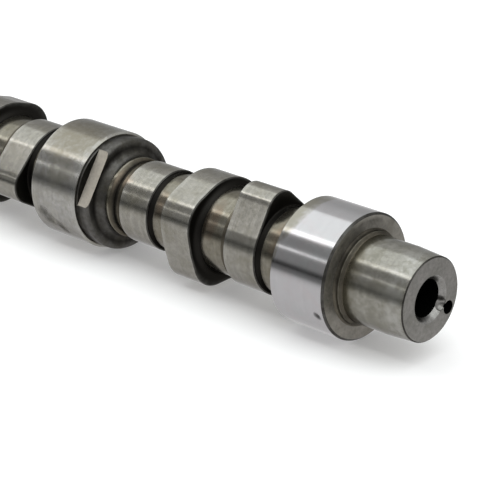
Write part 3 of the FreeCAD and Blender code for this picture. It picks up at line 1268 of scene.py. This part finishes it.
@dataclass(kw_only=True)
class Nose(Piece):
    """Drive nose: a shouldered barrel with a slight taper, a blind hole and a dowel hole."""

    name: str = "drive_nose"
    poles: bool = True
    length: float = 32.9
    radius: float = 18.65
    straight: float = 20.0
    end_radius: float = 17.8
    chamfer: float = 0.5
    buried_length: float = 4.0
    seat: float = 0.05
    shoulder_radius: float = 19.8
    shoulder_length: float = 2.0
    shoulder_slope: float = 1.2
    shoulder_fillet: float = 1.2
    # painted shade at the shoulder, fading along the barrel's start
    shoulder_soot: float = 0.35
    corner_width: float = 0.3
    corner_drop: float = 0.06
    bloom_length: float = 8.0
    taper_wear_and_highlight: float = 1.8
    bore_radius: float = 8.0
    bore_depth: float = 42.0
    drill_point: float = 118.0
    pole_radius: float = 0.05
    mouth_radius: float = 10.1
    mouth_depth: float = 2.3
    mouth_power: float = 1.2
    dowel_radius: float = 2.9
    dowel_depth: float = 10.0
    dowel_place: float = 13.6
    dowel_angle: float = -30.7
    dowel_overcut: float = 1.0
    relief_radius: float = 3.4
    relief_place: float = 7.6
    relief_angle: float = -31.0
    relief_rise: float = 0.8
    blemishes: tuple[Blemish, ...] = (
        # Painted shade in the hole's mouth, beside the relief, above the bore and below it, and on the top of
        # the nose's foot.
        Blemish(45.6, -16.0, 3.2, 2.6, 0.85, "soot", reach=12.0),
        Blemish(45.3, 85.0, 3.2, 15.0, 0.75, "soot", reach=12.0),
        Blemish(45.3, 236.0, 3.2, 16.0, 0.75, "soot", reach=12.0),
        Blemish(14.9, 112.0, 3.4, 56.0, 0.6, "soot"),
    )

    @property
    def base(self) -> float:
        """Where it stands against the front journal."""
        return self.layout.journal_faces(0)[1]

    def skin(self) -> Skin:
        """Turns the shoulder, the barrel and the hole as one surface.

        The shoulder slopes to the barrel by a smooth step. The mouth of the hole is rounded: its depth
        grows as a power of the way inwards.

        Returns:
            The skin.
        """
        base, end, soot = self.base, self.base + self.length, self.shoulder_soot
        skin = Skin(self.columns)
        skin.add(base - self.buried_length, self.shoulder_radius, Finish.FACE)
        # The shoulder and the start of the barrel are painted dark as shade.
        skin.add(base - self.seat, self.shoulder_radius + self.shoulder_fillet, Finish.SHOULDER, soot=0.1)
        skin.quarter(9, base + self.shoulder_fillet, self.shoulder_radius, Finish.SHOULDER,
                     flat_first=False, soot=0.25)
        corner = base + self.shoulder_length
        dropped = self.shoulder_radius - self.corner_drop
        skin.add(corner - self.corner_width, self.shoulder_radius, Finish.SHOULDER, soot=soot)
        skin.add(corner - self.seat, self.shoulder_radius - self.corner_drop / 2, Finish.SHOULDER, edge=0.8)
        for share in shares(8):
            eased = share * share * (3 - 2 * share)
            skin.add(corner + share * self.shoulder_slope, dropped + eased * (self.radius - dropped),
                     Finish.SHOULDER, soot=soot)

        skin.last.finish = Finish.NOSE
        skin.last.bloom = 1.0
        slope_end = corner + self.shoulder_slope
        for share in shares(10):
            skin.add(slope_end + share * self.bloom_length, self.radius, Finish.NOSE,
                     soot=soot * (1 - share) ** 2, bloom=1.0 - share)
        skin.add(base + self.straight, self.radius, Finish.NOSE, 8, sharp=True)
        # The taper grows lighter towards the end: partly rubbed steel, partly a painted highlight.
        taper = self.length - self.straight - self.chamfer
        for share in shares(12):
            skin.add(base + self.straight + share * taper,
                     self.radius + share * (self.end_radius - self.radius), Finish.NOSE,
                     edge=min(self.taper_wear_and_highlight * share, 1.0))
        skin.last.finish = Finish.DARK_EDGE
        skin.last.sharp = True
        skin.last.edge = 0.3

        skin.add(end, self.end_radius - self.chamfer, Finish.NOSE_END, sharp=True, edge=0.3)
        skin.add(end, self.mouth_radius, Finish.MOUTH, 8)
        for share in shares(12):
            skin.add(end - self.mouth_depth * share ** self.mouth_power,
                     self.mouth_radius + share * (self.bore_radius - self.mouth_radius), Finish.MOUTH)
        skin.last.finish = Finish.SHADE_WALLS
        skin.last.sharp = True
        bottom = end - self.bore_depth
        tip = bottom - self.bore_radius / math.tan(math.radians(self.drill_point / 2))
        skin.add(bottom, self.bore_radius, Finish.SHADE_WALLS, 14, sharp=True)
        skin.add(tip, self.pole_radius, Finish.SHADE_WALLS, 4)
        return skin

    def cutters(self, finishes: Finishes) -> list[Thing]:
        """Makes a ball for the relief in the hole's mouth and a pin for the dowel hole.

        Args:
            finishes: the materials.

        Returns:
            The ball and the pin.
        """
        end = self.base + self.length
        relief = self.relief_place * directions(np.radians(self.relief_angle))
        dowel = self.dowel_place * directions(np.radians(self.dowel_angle))
        return [cutting_ball(np.array([end + self.relief_rise, *relief]), self.relief_radius,
                             finishes[Finish.RELIEF]),
                cutting_pin(np.array([end - self.dowel_depth, *dowel]), self.dowel_depth + self.dowel_overcut,
                            self.dowel_radius, finishes[Finish.SHADE_WALLS])]


# The shaft

@dataclass
class Camshaft:
    """The whole shaft: its journals, necks, lobes, collar and nose."""

    layout: Layout = LAYOUT
    finishes: Finishes = field(default_factory=Finishes)
    journal_blemishes: dict[int, tuple[Blemish, ...]] = field(default_factory=lambda: {
        0: (Blemish(10.2, 202.4, 4.8, 3.8, 0.68, "soot", turn=43.0, depth=0.12),
            Blemish(-14.0, 98.0, 15.0, 52.0, 1.0),
            Blemish(-14.3, 150.0, 5.0, 26.0, 0.7),
            # painted shade on the front face above the nose's foot
            Blemish(14.35, 105.0, 4.0, 52.0, 0.42, "soot", reach=25.0)),
        1: (Blemish(-152.0, 203.0, 14.0, 10.0, 0.50, "soot", turn=35.0),
            Blemish(-145.0, 213.0, 12.0, 7.0, 0.48, "soot", turn=50.0),
            Blemish(-146.0, 228.0, 34.0, 26.0, 0.4),
            Blemish(-146.0, 112.0, 40.0, 34.0, 0.8),
            Blemish(-148.0, 134.0, 22.0, 7.0, 0.75)),
    })

    def lobes(self, number: int) -> list[Lobe]:
        """The three lobes of one cylinder, turned to its place in the firing order.

        Args:
            number: the cylinder's number, the front one being 0.

        Returns:
            The lobes, from the front to the rear.
        """
        layout, necks = self.layout, Necks()
        cylinder, turn = layout.cylinder(number), layout.lobe_turns[number]
        front = Cam(base=20.2, lift=6.65, nose=9.3, nose_angles=(98.5,), turn=turn)
        middle = Cam(base=23.4, lift=2.35, nose=14.5, nose_angles=(152.5, 235.0, 306.0), turn=turn,
                     offset=1.2, offset_angle=-40.0)
        rear = Cam(base=18.5, lift=7.7, nose=9.3, nose_angles=(0.0,), turn=turn)
        behind_rear = necks.behind_rear_lobe if number else necks.groove_end
        return [
            Lobe(name=f"front_lobe_{number + 1}", cam=front, place=layout.front_lobe, cylinder=cylinder,
                 root_radius=19.3, neck_rear=necks.behind_front_lobe, neck_front=necks.behind_journal),
            Lobe(name=f"middle_lobe_{number + 1}", cam=middle, place=layout.middle_lobe, cylinder=cylinder,
                 root_radius=21.3, neck_rear=necks.behind_middle_lobe, neck_front=necks.behind_front_lobe),
            Lobe(name=f"rear_lobe_{number + 1}", cam=rear, place=layout.rear_lobe, cylinder=cylinder,
                 root_radius=17.6, neck_rear=behind_rear, neck_front=necks.behind_middle_lobe,
                 blemishes=(Blemish(cylinder - 112.0, 132.0, 7.0, 9.0, 0.7),)),
        ]

    def pieces(self) -> list[Piece]:
        """Gives every piece of the shaft.

        Returns:
            The pieces, in the order in which they are made.
        """
        count = self.layout.cylinder_count
        journals = [Journal(name=f"journal_{number + 1}", number=number, poles=number == count,
                            blemishes=self.journal_blemishes.get(number, ())) for number in range(count + 1)]
        lobes = [lobe for number in range(count) for lobe in self.lobes(number)]
        return [*journals, Necks(), *lobes, Collar(), Nose()]

    def build(self) -> None:
        """Builds every piece."""
        for piece in self.pieces():
            piece.build(self.finishes)


# The studio

@dataclass(frozen=True)
class Panel:
    """A long soft lamp that runs parallel to the shaft.

    It stands in the direction of an angle across the shaft, counted from +Y towards +Z, and faces the
    shaft. Its power is its brightness times its area times pi.
    """

    name: str
    angle: float
    spread: float
    distance: float
    brightness: float
    color: Color = (1.0, 1.0, 1.0)
    length: float = 5.0
    middle: float = -0.3

    def build(self) -> Thing:
        """Makes the lamp, as wide as its spread seen from the shaft.

        Returns:
            The lamp.
        """
        width = 2 * self.distance * math.tan(math.radians(self.spread / 2))
        lamp = bpy.data.lights.new(self.name, "AREA")
        lamp.shape = "RECTANGLE"
        lamp.size = self.length
        lamp.size_y = width
        lamp.color = self.color
        lamp.energy = self.brightness * self.length * width * math.pi
        piece = placed(self.name, lamp)
        away, along = outwards(self.angle), Vector((1.0, 0.0, 0.0))
        piece.location = away * self.distance + along * self.middle
        piece.rotation_mode = "QUATERNION"
        piece.rotation_quaternion = Matrix((along, away.cross(along), away)).transposed().to_quaternion()
        return piece


@dataclass
class Studio:
    """Pale floor, soft lamps and the room that the steel reflects.

    Each fade goes from its first number to its second one, and its brightness from the third to the last:
    across the floor for the two floors, by the height of the view for the walls and round it for the side.
    """

    floor_height: float = -27.0 * MM
    floor_size: float = 12.0
    floor_shade: float = 0.84
    floor_glow: float = 0.2
    floor_reflected: float = 0.8
    near_floor: Fade = (-0.28, -0.09, 0.03, 1.0)
    far_floor: Fade = (0.0, 0.06, 1.0, 0.74)
    near_wall: Fade = (0.04, 0.15, 0.03, 0.38)
    far_wall: Fade = (0.32, 0.66, 0.66, 0.88)
    far_side: Fade = (-0.42, -0.26, 0.0, 1.0)
    panels: tuple[Panel, ...] = (
        Panel("overhead_lamp", angle=88.0, spread=50.0, distance=1.25, brightness=0.92,
              color=(0.95, 1.0, 1.0)),
        Panel("bright_strip", angle=117.7, spread=8.2, distance=1.3, brightness=2.9),
        Panel("thin_strip", angle=149.0, spread=4.0, distance=1.3, brightness=1.5),
    )

    def floor(self) -> Thing:
        """Makes the plain pale floor.

        It is lit by the lamps and keeps the shaft's shadow. A little light of its own makes it white to the
        camera, and the steel sees it as an even pale sheet that ends in the dark on the near side.

        Returns:
            The floor.
        """
        half = self.floor_size / 2
        mesh = bpy.data.meshes.new("floor")
        corners = [(-half, -half), (half, -half), (half, half), (-half, half)]
        mesh.from_pydata([(x, y, self.floor_height) for x, y in corners], [], [[0, 1, 2, 3]])
        floor = placed("floor", mesh)
        material = bpy.data.materials.new("pale_floor")
        material.use_nodes = True
        tree = material.node_tree
        shader = tree.nodes["Principled BSDF"]
        shader.inputs["Base Color"].default_value = (*(self.floor_shade,) * 3, 1.0)
        shader.inputs["Roughness"].default_value = 0.9
        shader.inputs["Specular IOR Level"].default_value = 0.0
        shader.inputs["Emission Color"].default_value = (1.0, 1.0, 1.0, 1.0)
        seen = add_node(tree, "ShaderNodeLightPath", {}).outputs
        glow = product(tree, seen["Is Camera Ray"], self.floor_glow)
        tree.links.new(glow, shader.inputs["Emission Strength"])
        place = add_node(tree, "ShaderNodeTexCoord", {}).outputs["Object"]
        across = add_node(tree, "ShaderNodeSeparateXYZ", {"Vector": place}).outputs["Y"]
        near = carried(tree, across, *self.near_floor)
        far = carried(tree, across, *self.far_floor)
        sheet = add_node(tree, "ShaderNodeEmission", {
            "Color": (1.0, 0.985, 0.99, 1.0), "Strength": product(tree, near, far)})
        share = product(tree, seen["Is Glossy Ray"], self.floor_reflected)
        blend = add_node(tree, "ShaderNodeMixShader", {0: share, 1: shader.outputs[0], 2: sheet.outputs[0]})
        tree.links.new(blend.outputs[0], tree.nodes["Material Output"].inputs["Surface"])
        mesh.materials.append(material)
        return floor

    def room(self) -> None:
        """Room light: white to the camera, paler behind the shaft and dark along the near horizon."""
        world = bpy.data.worlds.new("room")
        world.use_nodes = True
        bpy.context.scene.world = world
        tree = world.node_tree
        background = tree.nodes["Background"]
        direction = add_node(tree, "ShaderNodeTexCoord", {}).outputs["Generated"]
        parts = add_node(tree, "ShaderNodeSeparateXYZ", {"Vector": direction}).outputs
        near = carried(tree, parts["Z"], *self.near_wall)
        far = carried(tree, parts["Z"], *self.far_wall)
        side = carried(tree, parts["Y"], *self.far_side)
        level = add_node(tree, "ShaderNodeMix", {0: side, 2: near, 3: far}, data_type="FLOAT")
        seen = add_node(tree, "ShaderNodeLightPath", {}).outputs["Is Camera Ray"]
        strength = add_node(tree, "ShaderNodeMix", {0: seen, 2: level.outputs[0], 3: 1.0}, data_type="FLOAT")
        background.inputs["Color"].default_value = (1.0, 1.0, 1.0, 1.0)
        tree.links.new(strength.outputs[0], background.inputs["Strength"])

    def build(self) -> None:
        """Builds the floor, the lamps and the room."""
        self.floor()
        for panel in self.panels:
            panel.build()
        self.room()


@dataclass(frozen=True)
class Viewpoint:
    """Camera at the photograph's angle."""

    location: tuple[float, float, float] = (0.45595, -0.5406, 0.2991)
    azimuth: float = 43.09
    elevation: float = 22.41
    lens: float = 135.3

    def build(self) -> None:
        """Makes the camera, which looks along the given azimuth and elevation."""
        camera = bpy.data.cameras.new("camera")
        camera.lens = self.lens
        camera.sensor_width = 36.0
        camera.clip_start = 0.01
        camera.clip_end = 50.0
        piece = placed("camera", camera)
        turn, tilt = math.radians(self.azimuth), math.radians(self.elevation)
        back = Vector((math.sin(turn) * math.cos(tilt), -math.cos(turn) * math.cos(tilt), math.sin(tilt)))
        piece.location = self.location
        piece.rotation_mode = "QUATERNION"
        piece.rotation_quaternion = (-back).to_track_quat("-Z", "Y")
        bpy.context.scene.camera = piece


def main() -> None:
    """Builds the shaft, the studio and the camera."""
    logging.basicConfig(level=logging.INFO, format="%(message)s")
    Viewpoint().build()
    Camshaft().build()
    Studio().build()
    bpy.context.scene.view_settings.view_transform = "Standard"


if __name__ == "__main__":
    main()
